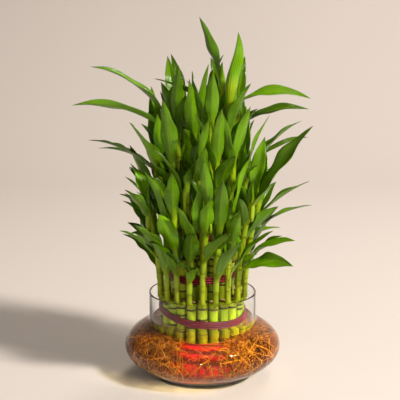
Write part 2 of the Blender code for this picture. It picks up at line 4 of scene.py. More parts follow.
import bmesh
import bpy
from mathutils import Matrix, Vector


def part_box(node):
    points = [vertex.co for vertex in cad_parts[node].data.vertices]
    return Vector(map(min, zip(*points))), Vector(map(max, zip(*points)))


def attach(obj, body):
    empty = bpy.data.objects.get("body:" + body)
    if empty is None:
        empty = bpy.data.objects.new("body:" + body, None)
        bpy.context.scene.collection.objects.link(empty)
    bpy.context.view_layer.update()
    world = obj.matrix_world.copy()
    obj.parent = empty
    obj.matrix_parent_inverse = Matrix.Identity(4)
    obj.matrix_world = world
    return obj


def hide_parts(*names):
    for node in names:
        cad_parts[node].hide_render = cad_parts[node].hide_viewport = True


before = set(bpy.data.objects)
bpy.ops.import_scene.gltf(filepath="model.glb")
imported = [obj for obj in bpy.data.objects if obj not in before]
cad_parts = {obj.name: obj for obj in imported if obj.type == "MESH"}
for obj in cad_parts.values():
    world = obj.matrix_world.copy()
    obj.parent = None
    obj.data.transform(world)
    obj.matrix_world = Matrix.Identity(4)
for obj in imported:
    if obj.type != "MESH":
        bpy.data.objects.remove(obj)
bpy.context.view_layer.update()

mm = 0.001


def srgb(code):
    parts = [int(code[i : i + 2], 16) / 255 for i in (1, 3, 5)]
    linear = [part / 12.92 if part <= 0.04045 else ((part + 0.055) / 1.055) ** 2.4 for part in parts]
    return (*linear, 1.0)


def addNode(tree, kind, inputs={}, **settings):
    node = tree.nodes.new(kind)
    for key, value in settings.items():
        setattr(node, key, value)
    for key, value in inputs.items():
        if isinstance(value, bpy.types.NodeSocket):
            tree.links.new(value, node.inputs[key])
        else:
            node.inputs[key].default_value = value
    return node


def newMaterial(name, shaderValues):
    material = bpy.data.materials.new(name)
    material.use_nodes = True
    shader = material.node_tree.nodes["Principled BSDF"]
    for key, value in shaderValues.items():
        shader.inputs[key].default_value = value
    return material, material.node_tree, shader


def polar(radius, turn, z):
    return Vector((radius * math.cos(turn), radius * math.sin(turn), z))


def smoothStep(value, low, high):
    share = min(1.0, max(0.0, (value - low) / (high - low)))
    return share * share * (3 - 2 * share)


def throughKnots(knots, values, at):
    # a smooth curve through values that stand at uneven knots
    last = len(knots) - 1
    i = max(0, min(last - 1, sum(1 for knot in knots[1:-1] if at >= knot)))
    span = knots[i + 1] - knots[i]
    t = (at - knots[i]) / span
    slopes = []
    for k in (i, i + 1):
        low, high = max(0, k - 1), min(last, k + 1)
        slopes.append((values[high] - values[low]) * (span / (knots[high] - knots[low])))
    return (
        values[i] * (2 * t**3 - 3 * t**2 + 1)
        + slopes[0] * (t**3 - 2 * t**2 + t)
        + values[i + 1] * (3 * t**2 - 2 * t**3)
        + slopes[1] * (t**3 - t**2)
    )


class Shape:
    # rows of points joined into skins, with a few values kept at each point
    def __init__(self):
        self.points, self.faces, self.slots, self.plan = [], [], [], []
        self.values = {"tone": [], "under": [], "mark": []}

    def skin(self, rows, slot, caps=(False, False), around=True, ring=False, **values):
        first, across = len(self.points), len(rows[0])
        for along, row in enumerate(rows):
            for place, point in enumerate(row):
                self.points.append(point)
                self.plan.append((place / across, along / max(1, len(rows) - 1)))
                for key, kept in self.values.items():
                    given = values.get(key, 0.0)
                    kept.append(given(along, place) if callable(given) else given)
        for along in range(len(rows) if ring else len(rows) - 1):
            low, high = first + along * across, first + (along + 1) % len(rows) * across
            for place in range(across if around else across - 1):
                beside = (place + 1) % across
                self.faces.append((low + place, low + beside, high + beside, high + place))
                self.slots.append(slot)
        last = first + (len(rows) - 1) * across
        for wanted, cap in zip(caps, (range(first + across - 1, first - 1, -1), range(last, last + across))):
            if wanted:
                self.faces.append(tuple(cap))
                self.slots.append(slot)
        return first

    def piece(self, name, materials):
        mesh = bpy.data.meshes.new(name)
        mesh.from_pydata(self.points, [], self.faces)
        for material in materials:
            mesh.materials.append(material)
        mesh.polygons.foreach_set("material_index", self.slots)
        for key, kept in self.values.items():
            if any(kept):
                mesh.attributes.new(key, "FLOAT", "POINT").data.foreach_set("value", kept)
        layer = mesh.uv_layers.new(name="plan")
        for corner in mesh.loops:
            layer.data[corner.index].uv = self.plan[corner.vertex_index]
        mesh.shade_smooth()
        made = bpy.data.objects.new(name, mesh)
        bpy.context.scene.collection.objects.link(made)
        return made


def faceOutwards(piece):
    mesh = bmesh.new()
    mesh.from_mesh(piece.data)
    bmesh.ops.remove_doubles(mesh, verts=mesh.verts, dist=0.001 * mm)
    bmesh.ops.recalc_face_normals(mesh, faces=mesh.faces)
    if mesh.calc_volume(signed=True) < 0:
        bmesh.ops.reverse_faces(mesh, faces=mesh.faces)
    mesh.to_mesh(piece.data)
    mesh.free()


def finishPiece(piece, slot, *nodes):
    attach(piece, "root")
    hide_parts(*nodes)


# Living leaf, grown: a waxy dark green face with streaked glints, pale midrib, fine parallel veins, duller below.

leafLooks = {
    "deep": "#0f3201",
    "fresh": "#74a804",
    "young": "#a8bf14",
    "midrib": "#93b414",
    "below": "#5c8c0a",
    "tip": "#7d7a22",
    "veins": 13,  # across the blade, about 1.4 mm apart
    "veinDepth": 0.10 * mm,
    "blotch": 18 * mm,
}


def leafMaterial():
    looks = leafLooks
    material, tree, shader = newMaterial("dracaenaLeafWaxy", {"IOR": 1.45, "Specular IOR Level": 0.42})
    plan = addNode(tree, "ShaderNodeUVMap", uv_map="plan").outputs[0]
    parts = addNode(tree, "ShaderNodeSeparateXYZ", {0: plan})
    across, along = parts.outputs[0], parts.outputs[1]
    tone = addNode(tree, "ShaderNodeAttribute", attribute_name="tone").outputs["Fac"]
    under = addNode(tree, "ShaderNodeAttribute", attribute_name="under").outputs["Fac"]
    place = addNode(tree, "ShaderNodeTexCoord").outputs["Object"]
    blotch = addNode(tree, "ShaderNodeTexNoise", {"Vector": place, "Scale": 1 / looks["blotch"]}).outputs[0]
    drawn = addNode(tree, "ShaderNodeMapping", {"Vector": plan, "Scale": (40.0, 2.2, 1.0)}).outputs[0]
    streak = addNode(tree, "ShaderNodeTexNoise", {"Vector": drawn, "Scale": 1.0, "Detail": 3.0}).outputs[0]
    wide = addNode(tree, "ShaderNodeMath", {0: blotch, 1: 0.9, 2: tone}, operation="MULTIPLY_ADD").outputs[0]
    mixed = addNode(tree, "ShaderNodeMath", {0: streak, 1: 0.5, 2: wide}, operation="MULTIPLY_ADD").outputs[0]
    green = addNode(tree, "ShaderNodeMapRange", {0: mixed, 1: 0.5, 2: 1.6}).outputs[0]
    colour = addNode(
        tree, "ShaderNodeMix", {0: green, 6: srgb(looks["deep"]), 7: srgb(looks["fresh"])}, data_type="RGBA"
    ).outputs[2]
    turns = addNode(
        tree, "ShaderNodeMath", {0: across, 1: looks["veins"] * math.tau}, operation="MULTIPLY"
    ).outputs[0]
    wave = addNode(tree, "ShaderNodeMath", {0: turns}, operation="SINE").outputs[0]
    veins = addNode(tree, "ShaderNodeMapRange", {0: wave, 1: 0.2, 2: 1.0, 3: 0.0, 4: 0.22}).outputs[0]
    colour = addNode(
        tree, "ShaderNodeMix", {0: veins, 6: colour, 7: srgb(looks["midrib"])}, data_type="RGBA"
    ).outputs[2]
    dull = addNode(tree, "ShaderNodeMath", {0: under, 1: 0.3}, operation="MULTIPLY").outputs[0]
    colour = addNode(
        tree, "ShaderNodeMix", {0: dull, 6: colour, 7: srgb(looks["below"])}, data_type="RGBA"
    ).outputs[2]
    foot = addNode(tree, "ShaderNodeMapRange", {0: along, 1: 0.0, 2: 0.26, 3: 0.75, 4: 0.0}).outputs[0]
    colour = addNode(
        tree, "ShaderNodeMix", {0: foot, 6: colour, 7: srgb(looks["young"])}, data_type="RGBA"
    ).outputs[2]
    aside = addNode(tree, "ShaderNodeMath", {0: across, 1: 0.5}, operation="SUBTRACT").outputs[0]
    fromRib = addNode(tree, "ShaderNodeMath", {0: aside}, operation="ABSOLUTE").outputs[0]
    rib = addNode(tree, "ShaderNodeMapRange", {0: fromRib, 1: 0.02, 2: 0.06, 3: 0.3, 4: 0.0}).outputs[0]
    colour = addNode(
        tree, "ShaderNodeMix", {0: rib, 6: colour, 7: srgb(looks["midrib"])}, data_type="RGBA"
    ).outputs[2]
    end = addNode(tree, "ShaderNodeMapRange", {0: along, 1: 0.965, 2: 1.0, 3: 0.0, 4: 0.6}).outputs[0]
    colour = addNode(
        tree, "ShaderNodeMix", {0: end, 6: colour, 7: srgb(looks["tip"])}, data_type="RGBA"
    ).outputs[2]
    tree.links.new(colour, shader.inputs["Base Color"])
    gloss = addNode(tree, "ShaderNodeMapRange", {0: blotch, 1: 0.3, 2: 0.7, 3: 0.12, 4: 0.26}).outputs[0]
    rough = addNode(tree, "ShaderNodeMath", {0: under, 1: 0.05, 2: gloss}, operation="MULTIPLY_ADD").outputs[0]
    tree.links.new(rough, shader.inputs["Roughness"])
    relief = addNode(tree, "ShaderNodeMath", {0: streak, 1: 1.4, 2: wave}, operation="MULTIPLY_ADD").outputs[0]
    bump = addNode(tree, "ShaderNodeBump", {"Height": relief, "Distance": looks["veinDepth"]}).outputs[0]
    tree.links.new(bump, shader.inputs["Normal"])
    return material


# Cane and stem skin, grown: smooth satin yellow-green with faint streaks, brown scars where leaves once sat.

caneLooks = {
    "skin": "#9fae0c",
    "pale": "#c6cb34",
    "shade": "#5c7008",
    "wet": "#75560a",
    "scar": "#3f2509",
    "cutRim": "#3d2610",
    "cutFace": "#b3934f",
    "nodeStep": 21 * mm,
    "waist": 0.90,  # a cane is a little thinner between its nodes
    "sides": 20,
}


def caneMaterial():
    looks = caneLooks
    material, tree, shader = newMaterial("dracaenaCaneSatin", {"IOR": 1.45, "Specular IOR Level": 0.3})
    tone = addNode(tree, "ShaderNodeAttribute", attribute_name="tone").outputs["Fac"]
    mark = addNode(tree, "ShaderNodeAttribute", attribute_name="mark").outputs["Fac"]
    place = addNode(tree, "ShaderNodeTexCoord").outputs["Object"]
    drawn = addNode(tree, "ShaderNodeMapping", {"Vector": place, "Scale": (700.0, 700.0, 45.0)}).outputs[0]
    streak = addNode(tree, "ShaderNodeTexNoise", {"Vector": drawn, "Scale": 1.0, "Detail": 3.0}).outputs[0]
    patch = addNode(tree, "ShaderNodeTexNoise", {"Vector": place, "Scale": 75.0, "Detail": 2.0}).outputs[0]
    mixed = addNode(tree, "ShaderNodeMath", {0: tone, 1: 0.6, 2: patch}, operation="MULTIPLY_ADD").outputs[0]
    green = addNode(tree, "ShaderNodeMapRange", {0: mixed, 1: 0.35, 2: 1.1}).outputs[0]
    colour = addNode(
        tree, "ShaderNodeMix", {0: green, 6: srgb(looks["shade"]), 7: srgb(looks["skin"])}, data_type="RGBA"
    ).outputs[2]
    lift = addNode(tree, "ShaderNodeMapRange", {0: streak, 1: 0.5, 2: 0.8, 3: 0.0, 4: 0.6}).outputs[0]
    colour = addNode(
        tree, "ShaderNodeMix", {0: lift, 6: colour, 7: srgb(looks["pale"])}, data_type="RGBA"
    ).outputs[2]
    height = addNode(tree, "ShaderNodeSeparateXYZ", {0: place}).outputs[2]
    soaked = addNode(tree, "ShaderNodeMapRange", {0: height, 1: 0.050, 2: 0.063, 3: 0.6, 4: 0.0}).outputs[0]
    colour = addNode(
        tree, "ShaderNodeMix", {0: soaked, 6: colour, 7: srgb(looks["wet"])}, data_type="RGBA"
    ).outputs[2]
    ragged = addNode(tree, "ShaderNodeMath", {0: streak, 1: 0.35, 2: mark}, operation="MULTIPLY_ADD").outputs[0]
    scar = addNode(tree, "ShaderNodeMapRange", {0: ragged, 1: 0.3, 2: 0.8}).outputs[0]
    colour = addNode(
        tree, "ShaderNodeMix", {0: scar, 6: colour, 7: srgb(looks["scar"])}, data_type="RGBA"
    ).outputs[2]
    tree.links.new(colour, shader.inputs["Base Color"])
    rough = addNode(tree, "ShaderNodeMapRange", {0: mark, 3: 0.3, 4: 0.7}).outputs[0]
    tree.links.new(rough, shader.inputs["Roughness"])
    bump = addNode(tree, "ShaderNodeBump", {"Height": streak, "Distance": 0.05 * mm}).outputs[0]
    tree.links.new(bump, shader.inputs["Normal"])
    return material


# Sawn cane end, dried: a matt straw-coloured pith inside a nearly black rim.


def cutMaterial():
    looks = caneLooks
    material, tree, shader = newMaterial("caneEndSawnDry", {"Roughness": 0.8, "IOR": 1.45})
    mark = addNode(tree, "ShaderNodeAttribute", attribute_name="mark").outputs["Fac"]
    place = addNode(tree, "ShaderNodeTexCoord").outputs["Object"]
    grain = addNode(tree, "ShaderNodeTexNoise", {"Vector": place, "Scale": 1400.0, "Detail": 2.0}).outputs[0]
    ragged = addNode(tree, "ShaderNodeMath", {0: grain, 1: 0.7, 2: mark}, operation="MULTIPLY_ADD").outputs[0]
    share = addNode(tree, "ShaderNodeMapRange", {0: ragged, 1: 0.4, 2: 1.4}).outputs[0]
    colour = addNode(
        tree, "ShaderNodeMix", {0: share, 6: srgb(looks["cutRim"]), 7: srgb(looks["cutFace"])}, data_type="RGBA"
    ).outputs[2]
    tree.links.new(colour, shader.inputs["Base Color"])
    bump = addNode(tree, "ShaderNodeBump", {"Height": grain, "Distance": 0.12 * mm}).outputs[0]
    tree.links.new(bump, shader.inputs["Normal"])
    return material


# Reading a packed cane: where it stands, where its stem runs, and each blade's edges and keel.


def neighbours(points):
    return {edge.other_vert(point) for point in points for edge in point.link_edges}


def readCane(node):
    mesh = bmesh.new()
    mesh.from_mesh(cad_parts[node].data)
    bmesh.ops.remove_doubles(mesh, verts=mesh.verts, dist=0.01 * mm)
    lowest = min(point.co.z for point in mesh.verts)
    foot = [point for point in mesh.verts if point.co.z < lowest + 0.05 * mm]
    centre = sum((point.co for point in foot), Vector()) / len(foot)
    radius = (foot[0].co - centre).length
    onCane = {point for point in mesh.verts if abs((point.co - centre).xy.length - radius) < 0.02 * mm}
    heights = {round(point.co.z, 5) for point in onCane}
    full = [z for z in heights if sum(1 for point in onCane if abs(point.co.z - z) < 0.02 * mm) >= 7]
    top = max(full)
    onCane = {point for point in onCane if point.co.z < top + 0.05 * mm}
    blades, used = [], set(onCane)
    for tip in mesh.verts:
        if tip in onCane or len(tip.link_edges) != 3:
            continue
        sections, behind, ring = [], {tip}, neighbours([tip])
        while len(ring) == 3 and len(sections) < 5:
            sections.append(ring)
            ring, behind = neighbours(ring) - ring - behind, ring
        if len(sections) == 5:
            blades.append((tip.co.copy(), [[point.co.copy() for point in ring] for ring in sections]))
            used |= {tip}.union(*sections[:4])
    rings = {}
    for point in set(mesh.verts) - used:
        rings.setdefault(round(point.co.z, 5), []).append(point.co.copy())
    levels, widths, spear = [], [], None
    for z, ring in sorted(rings.items()):
        if len(ring) == 4:
            levels.append(sum(ring, Vector()) / 4)
            widths.append((ring[0] - levels[-1]).length)
        elif len(ring) == 1:
            spear = ring[0]
    mesh.free()
    return {"centre": centre, "radius": radius, "foot": lowest, "top": top,
            "blades": blades, "levels": levels, "widths": widths, "spear": spear}


def readBlade(tip, sections):
    # from the stem outwards: the middle, the way across, the way the upper face looks, and half the width
    stations, before = [], None
    for order, ring in enumerate(reversed(sections)):
        if order == 0:
            keel = min(ring, key=lambda point: point.z)
        else:
            pairs = [(ring[1], ring[2], ring[0]), (ring[0], ring[2], ring[1]), (ring[0], ring[1], ring[2])]
            keel = max(pairs, key=lambda pair: (pair[0] - pair[1]).length)[2]
        left, right = [point for point in ring if point != keel]
        if before and (right - left).dot(before) < 0:
            left, right = right, left
        before = right - left
        side = before.normalized()
        middle = (left + right) / 2
        up = middle - keel
        stations.append((middle, side, (up - side * up.dot(side)).normalized(), before.length / 2))
    return stations + [(tip, stations[-1][1], stations[-1][2], 0.0)]


# Blades and stems are drawn over those stations, with a fold, wavy edges, a twist and a clasping foot.

bladeShape = {
    "knots": (0.0, 0.13, 0.36, 0.60, 0.82, 1.0),
    "outline": ((0.0, 0.13, 0.28, 0.42, 0.60, 0.78, 0.90, 1.0), (0.36, 0.46, 0.86, 1.0, 0.90, 0.58, 0.27, 0.0)),
    "rows": 24,
    "across": 9,
    "fold": 0.24,
    "thickness": 0.36 * mm,
    "slimmest": 0.84,  # the share of its packed width the slimmest leaf is drawn with
    "broadest": 1.12,
    "ripple": 0.20,
    "sheath": 9 * mm,
    "sheathTurn": 1.9,
    "unroll": 0.17,
    "twist": 0.60,
    "droop": 0.16,
}


# the lowest leaves are old: broad, and hanging over the rim
lowBlades = {"slimmest": 0.95, "broadest": 1.18, "droop": 0.30}


def drawBlade(shape, stations, outward, stemAt, wrapAt, chance, tone, own={}):
    looks = {**bladeShape, **own}
    knots, across, count = looks["knots"], looks["across"], looks["rows"]
    middles, sides, ups, halves = (list(column) for column in zip(*stations))
    length = (middles[-1] - middles[0]).length
    level = (middles[-1] - middles[0]).xy.length / length
    widest = max(halves) * chance.uniform(looks["slimmest"], looks["broadest"])
    handed = 1 if sides[0].dot(Vector((-outward.y, outward.x, 0))) > 0 else -1
    ripples, twist = chance.uniform(1.4, 3.0), chance.gauss(0, looks["twist"])
    phases = [chance.uniform(0, math.tau) for _ in range(2)]
    drop = looks["droop"] * chance.uniform(0.2, 1.6) * length * level
    rows, sheathRows = [], 4
    for step in range(-sheathRows, count):
        along = max(0.0, step / count)
        middle = throughKnots(knots, middles, along)
        middle.z -= drop * max(0.0, along - 0.35) ** 2
        side = throughKnots(knots, sides, along).normalized()
        up = throughKnots(knots, ups, along)
        turned = twist * smoothStep(along, 0.15, 1.0)
        up = (up - side * up.dot(side)).normalized()
        side, up = side * math.cos(turned) + up * math.sin(turned), up * math.cos(turned) - side * math.sin(turned)
        half = max(0.15 * mm, widest * throughKnots(*looks["outline"], along))
        free = smoothStep(along, 0.0, looks["unroll"])
        below = looks["sheath"] * min(0.0, step / sheathRows)
        centre = stemAt(middles[0].z + below) if along == 0 else stemAt(middle.z)
        reach = wrapAt(middles[0].z + below) * (1.12 if step > -sheathRows else 0.94)
        top, low = [], []
        for place in range(across):
            s = -1 + 2 * place / (across - 1)
            wave = looks["ripple"] * half * s * s * math.sin(ripples * math.tau * along + phases[s > 0])
            rise = looks["fold"] * half * (2 * abs(s) ** 1.25 - 1.1) + wave
            flat = middle + side * (s * half) + up * rise
            turn = math.atan2(outward.y, outward.x) + handed * s * looks["sheathTurn"] * (1 - 0.35 * free)
            point = (centre + polar(reach, turn, 0)).lerp(flat, free)
            lift = (up * free - polar(1, turn, 0) * (1 - free)).normalized()
            thick = looks["thickness"] * (1 - 0.6 * s * s)
            top.append(point + lift * thick / 2)
            low.append(point - lift * thick / 2)
        rows.append(top + low[::-1])
    tip = middles[-1] - Vector((0, 0, drop * 0.65**2)) + (middles[-2] - middles[-1]).normalized() * 0.3 * mm
    around = sum(rows[-1], Vector()) / len(rows[-1])
    rows.append([tip + (point - around) * 0.05 for point in rows[-1]])
    beneath = lambda along, place: 0.0 if place < across else 1.0
    first = shape.skin(rows, 2, caps=(True, True), tone=tone, under=beneath)
    for order in range(len(rows) * 2 * across):
        along, place = divmod(order, 2 * across)
        place = place if place < across else 2 * across - 1 - place
        share = max(0.0, (along - sheathRows) / (len(rows) - 1 - sheathRows))
        shape.plan[first + order] = (place / (across - 1), share)


def drawSpear(shape, levels, tip, wrapAt, chance):
    # the youngest leaf, still rolled round the end of its stem
    foot, turn = levels[-1], chance.uniform(0, math.tau)
    along = (tip - foot).normalized()
    side = polar(1, turn, 0)
    side = (side - along * side.dot(along)).normalized()
    up = along.cross(side)
    wide = max(2.6 * mm, wrapAt(foot.z) * 1.2)
    bend = up * (tip - foot).length * 0.05
    shares = zip(bladeShape["knots"], (1.0, 1.0, 1.0, 1.0, 1.0, 0.0), (0.0, 0.3, 0.8, 1.0, 0.7, 0.0))
    stations = [(foot.lerp(tip, share) + bend * off, side, up, wide * width) for share, width, off in shares]
    outward = Vector((-up.x, -up.y, 0)).normalized()
    axis = lambda z: foot + along * ((z - foot.z) / along.z)
    own = {"unroll": 0.62, "sheath": 20 * mm, "fold": 0.8, "sheathTurn": 2.6, "slimmest": 1.0, "broadest": 1.05, "twist": 0.2, "droop": 0.0, "ripple": 0.05,
           "outline": ((0.0, 0.2, 0.45, 0.7, 0.88, 1.0), (1.0, 1.0, 0.92, 0.6, 0.26, 0.0))}
    drawBlade(shape, stations, outward, axis, wrapAt, chance, min(1.0, chance.gauss(0.7, 0.12)), own)


def drawStem(shape, cane, wrap, chance):
    # out of the cane's side, then up through the levels with a swollen ring at each of them
    levels, widths, sides = cane["levels"], cane["widths"], 12
    turns = [math.tau * i / sides for i in range(sides)]
    out = (levels[0] - cane["centre"])
    out.z = 0
    out.normalize()
    start = cane["centre"].xy.to_3d() + out * (cane["radius"] * 0.45)
    start.z = levels[0].z - 3.4 * mm
    rows, marks = [], []
    for step in range(5):
        share = step / 5
        middle = start.lerp(levels[0], share)
        middle.z -= math.sin(share * math.pi) * 0.9 * mm
        lean = (Vector((0, 0, 1)) * share + out * (1 - share)).normalized()
        across = Vector((-out.y, out.x, 0))
        radius = widths[0] * wrap * (1.22 - 0.15 * share)
        rows.append([middle + (out * math.cos(t) * lean.z - Vector((0, 0, 1)) * math.cos(t) * lean.dot(out)
                               + across * math.sin(t)) * radius for t in turns])
        marks.append(0.5 if step < 2 else 0.1)
    knots, steps = [level.z for level in levels], 5
    for order in range(len(levels) - 1):
        for step in range(steps):
            z = knots[order] + (knots[order + 1] - knots[order]) * step / steps
            radius = throughKnots(knots, widths, z) * wrap * (1.1 if step == 0 and order else 1.0)
            rows.append([throughKnots(knots, levels, z) + polar(radius, t, 0) for t in turns])
            marks.append(0.35 if step == 0 and order else 0.0)
    rows.append([levels[-1] + polar(widths[-1] * wrap * 0.9, t, 0) for t in turns])
    marks.append(0.0)
    shape.skin(rows, 0, caps=(True, True), tone=chance.uniform(0.4, 1.0), mark=lambda along, place: marks[along])


def drawCane(shape, cane, chance):
    radius, sides = cane["radius"] * 0.99, caneLooks["sides"]
    lowered = chance.uniform(0.0, 2.4) if cane["levels"] else chance.uniform(0.0, 9.0)
    bottom, top = cane["foot"], cane["top"] - lowered * mm
    scars = []
    z = bottom + chance.uniform(0.3, 1.0) * caneLooks["nodeStep"]
    while z < top - 12 * mm:
        scars.append(z)
        z += caneLooks["nodeStep"] * chance.uniform(0.75, 1.2)
    scars.append(top - chance.uniform(6.5, 8.5) * mm)
    waist = caneLooks["waist"] * chance.uniform(0.96, 1.03)
    profile = {bottom: (waist, 0.0), top - 0.7 * mm: (0.97, 0.5)}
    swelling = ((-6, 0.15, 0), (-2.4, 0.7, 0), (-1.0, 1.0, 0.1), (-0.4, 0.8, 0.9), (0, 0.35, 1), (0.5, 0.8, 0.7), (1.8, 0.6, 0.05), (6, 0.1, 0))
    for z in scars:
        for off, share, mark in swelling:
            if bottom < z + off * mm < top - 0.8 * mm:
                profile[z + off * mm] = (waist + (1 - waist) * share, mark)
    heights = sorted(profile)
    base = cane["centre"].xy.to_3d()
    turns = [math.tau * i / sides for i in range(sides)]
    rows = [[base + polar(radius * profile[z][0], t, z) for t in turns] for z in heights]
    tone = chance.uniform(0.0, 0.9)
    shape.skin(rows, 0, caps=(True, False), tone=tone, mark=lambda along, place: profile[heights[along]][1])
    ends = ((0.97, -0.7, 0.1), (0.95, -0.2, 0.0), (0.86, 0.0, 0.1), (0.74, -0.15, 0.7), (0.3, -0.45, 1.0), (0.05, -0.5, 0.5))
    rows = [[base + polar(radius * share, t, top + drop * mm) for t in turns] for share, drop, mark in ends]
    shape.skin(rows, 1, caps=(False, True), tone=tone, mark=lambda along, place: ends[along][2])


def makeCanes():
    materials = [caneMaterial(), cutMaterial(), leafMaterial()]
    blades, wrap = 0, 1.04
    for node in sorted(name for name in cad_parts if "_cane_" in name):
        chance, cane, shape = random.Random(node), readCane(node), Shape()
        drawCane(shape, cane, chance)
        levels = cane["levels"]
        if levels:
            drawStem(shape, cane, wrap, chance)
            knots = [level.z for level in levels]
            stemAt = lambda z: throughKnots(knots, levels, min(knots[-1], max(knots[0], z)))
            wrapAt = lambda z: throughKnots(knots, cane["widths"], min(knots[-1], max(knots[1], z))) * wrap
            for tip, sections in cane["blades"]:
                stations = readBlade(tip, sections)
                outward = stations[0][0] - stemAt(stations[0][0].z)
                outward = Vector((outward.x, outward.y, 0)).normalized()
                tone = min(1.0, max(0.0, chance.gauss(0.36, 0.30)))
                own = lowBlades if node.startswith("lower") else {}
                drawBlade(shape, stations, outward, stemAt, wrapAt, chance, tone, own)
                blades += 1
            drawSpear(shape, levels, cane["spear"], wrapAt, chance)
        tier, number = node.split("_cane_")
        piece = shape.piece(f"{tier}Cane_{number}", materials)
        finishPiece(piece, "leaf" if levels else "cane", node)
    print("canes with their shoots made, blades", blades)


makeCanes()


# Satin ribbon, woven polyester: a soft lengthwise sheen, with painted shade darkening the folds where it is gathered
# into strands.

ribbonLooks = {
    # each fold colour is painted shade for the hollows between the gathered strands
    "base_ribbon": {"pleats": 4, "depth": 0.7 * mm, "colour": "#e60a12", "fold": "#7c0308"},
    "lower_ribbon": {"pleats": 4, "depth": 1.35 * mm, "colour": "#7c0a1c", "fold": "#1c0206"},
    "middle_ribbon": {"pleats": 3, "depth": 1.35 * mm, "colour": "#a50d1a", "fold": "#300207"},
    "upper_ribbon": {"pleats": 3, "depth": 1.35 * mm, "colour": "#c21222", "fold": "#520610"},
    "thickness": 0.25 * mm,
    "thread": 0.5 * mm,  # real satin threads are finer; drawn as coarse as shows
    "steps": 144,
    "rows": 32,
}


def ribbonMaterial(node):
    looks = ribbonLooks[node]
    name = "polyesterSatinPaintedFoldShade" + node.split("_")[0].title()
    values = {"Roughness": 0.34, "Anisotropic": 0.4}
    material, tree, shader = newMaterial(name, values)
    mark = addNode(tree, "ShaderNodeAttribute", attribute_name="mark").outputs["Fac"]
    place = addNode(tree, "ShaderNodeTexCoord").outputs["Object"]
    soft = addNode(tree, "ShaderNodeTexNoise", {"Vector": place, "Scale": 140.0, "Detail": 2.0}).outputs[0]
    depth = addNode(tree, "ShaderNodeMath", {0: soft, 1: 0.5, 2: mark}, operation="MULTIPLY_ADD").outputs[0]
    share = addNode(tree, "ShaderNodeMapRange", {0: depth, 1: 0.35, 2: 1.1}).outputs[0]
    # painted shade: the colour darkens towards the fold colour in the pleat hollows
    colour = addNode(
        tree, "ShaderNodeMix", {0: share, 6: srgb(looks["fold"]), 7: srgb(looks["colour"])}, data_type="RGBA"
    ).outputs[2]
    tree.links.new(colour, shader.inputs["Base Color"])
    plan = addNode(tree, "ShaderNodeUVMap", uv_map="plan").outputs[0]
    across = addNode(tree, "ShaderNodeSeparateXYZ", {0: plan}).outputs[0]
    low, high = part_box(node)
    threads = 2 * (high[2] - low[2]) / ribbonLooks["thread"]
    turns = addNode(tree, "ShaderNodeMath", {0: across, 1: threads * math.tau}, operation="MULTIPLY").outputs[0]
    weave = addNode(tree, "ShaderNodeMath", {0: turns}, operation="SINE").outputs[0]
    bump = addNode(tree, "ShaderNodeBump", {"Height": weave, "Distance": 0.04 * mm}).outputs[0]
    tree.links.new(bump, shader.inputs["Normal"])
    return material


def makeRibbon(node):
    looks, chance, shape = ribbonLooks[node], random.Random(node), Shape()
    low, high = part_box(node)
    points = [point.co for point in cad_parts[node].data.vertices]
    turns = [math.atan2(point.y, point.x) for point in points]
    middleZ = sum(point.z for point in points) / len(points)
    leanX = 2 * sum(point.z * math.cos(turn) for point, turn in zip(points, turns)) / len(points)
    leanY = 2 * sum(point.z * math.sin(turn) for point, turn in zip(points, turns)) / len(points)
    radius = (min(point.xy.length for point in points) + max(point.xy.length for point in points)) / 2
    half = (high[2] - low[2]) / 2 - math.hypot(leanX, leanY) - 0.25 * mm
    drift = [chance.uniform(0, math.tau) for _ in range(3)]
    rows, folds, across = [], [], ribbonLooks["rows"] + 1
    for step in range(ribbonLooks["steps"]):
        turn = math.tau * step / ribbonLooks["steps"]
        middle = middleZ + leanX * math.cos(turn) + leanY * math.sin(turn) + 0.25 * mm * math.sin(5 * turn + drift[2])
        front, back, marks = [], [], []
        for row in range(across):
            share = -1 + 2 * row / (across - 1)
            fold = math.sin(share * math.pi * looks["pleats"] + 0.6 * math.sin(3 * turn + drift[0]))
            off = radius + looks["depth"] / 2 * fold + 0.1 * mm * math.sin(22 * turn + drift[1])
            front.append(polar(off + ribbonLooks["thickness"] / 2, turn, middle + share * half))
            back.append(polar(off - ribbonLooks["thickness"] / 2, turn, middle + share * half))
            # painted shade: the hollow of each pleat is marked for the dark fold colour
            marks.append(0.5 + 0.5 * fold)
        rows.append(front + back[::-1])
        folds.append(marks + marks[::-1])
    shape.skin(rows, 0, ring=True, mark=lambda along, place: folds[along][place])
    piece = shape.piece(node.split("_")[0] + "RibbonSatin", [ribbonMaterial(node)])
    faceOutwards(piece)
    finishPiece(piece, "ribbon", node)


for ribbon in ("base_ribbon", "lower_ribbon", "middle_ribbon", "upper_ribbon"):
    makeRibbon(ribbon)


# Soda-lime glass, blown and fire-polished: clear, thin bright edges, a rounded lip and a thick heavy foot.

bowlLooks = {
    "radius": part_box("glass_vase")[1][0],
    "rim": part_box("glass_vase")[1][2],
    "water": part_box("water")[1][2],
    "halfHeight": 35.0 * mm,
    "middle": 32.0 * mm,
    "glass": 2.4 * mm,
    "lip": 1.5 * mm,
    "foot": 50.0 * mm,
    "floor": 5.0 * mm,
    "neck": 54.0 * mm,
    "steps": 144,
    "glassColour": "#fbfefd",
    "waterColour": "#fff0d2",
    "mirror": 0.25,  # wet glass mirrors little of the room, so the colours inside stay deep
}


def clearMaterial(name, colour, index):
    # lamps have to reach what stands inside, so rays towards them pass straight through
    values = {"Base Color": srgb(colour), "Transmission Weight": 1.0, "IOR": index, "Roughness": 0.0}
    values["Specular Tint"] = (*[bowlLooks["mirror"]] * 3, 1.0)
    material, tree, shader = newMaterial(name, values)
    path = addNode(tree, "ShaderNodeLightPath").outputs["Is Shadow Ray"]
    through = addNode(tree, "ShaderNodeBsdfTransparent", {"Color": srgb(colour)}).outputs[0]
    mixed = addNode(tree, "ShaderNodeMixShader", {0: path, 1: shader.outputs[0], 2: through}).outputs[0]
    tree.links.new(mixed, tree.nodes["Material Output"].inputs["Surface"])
    return material


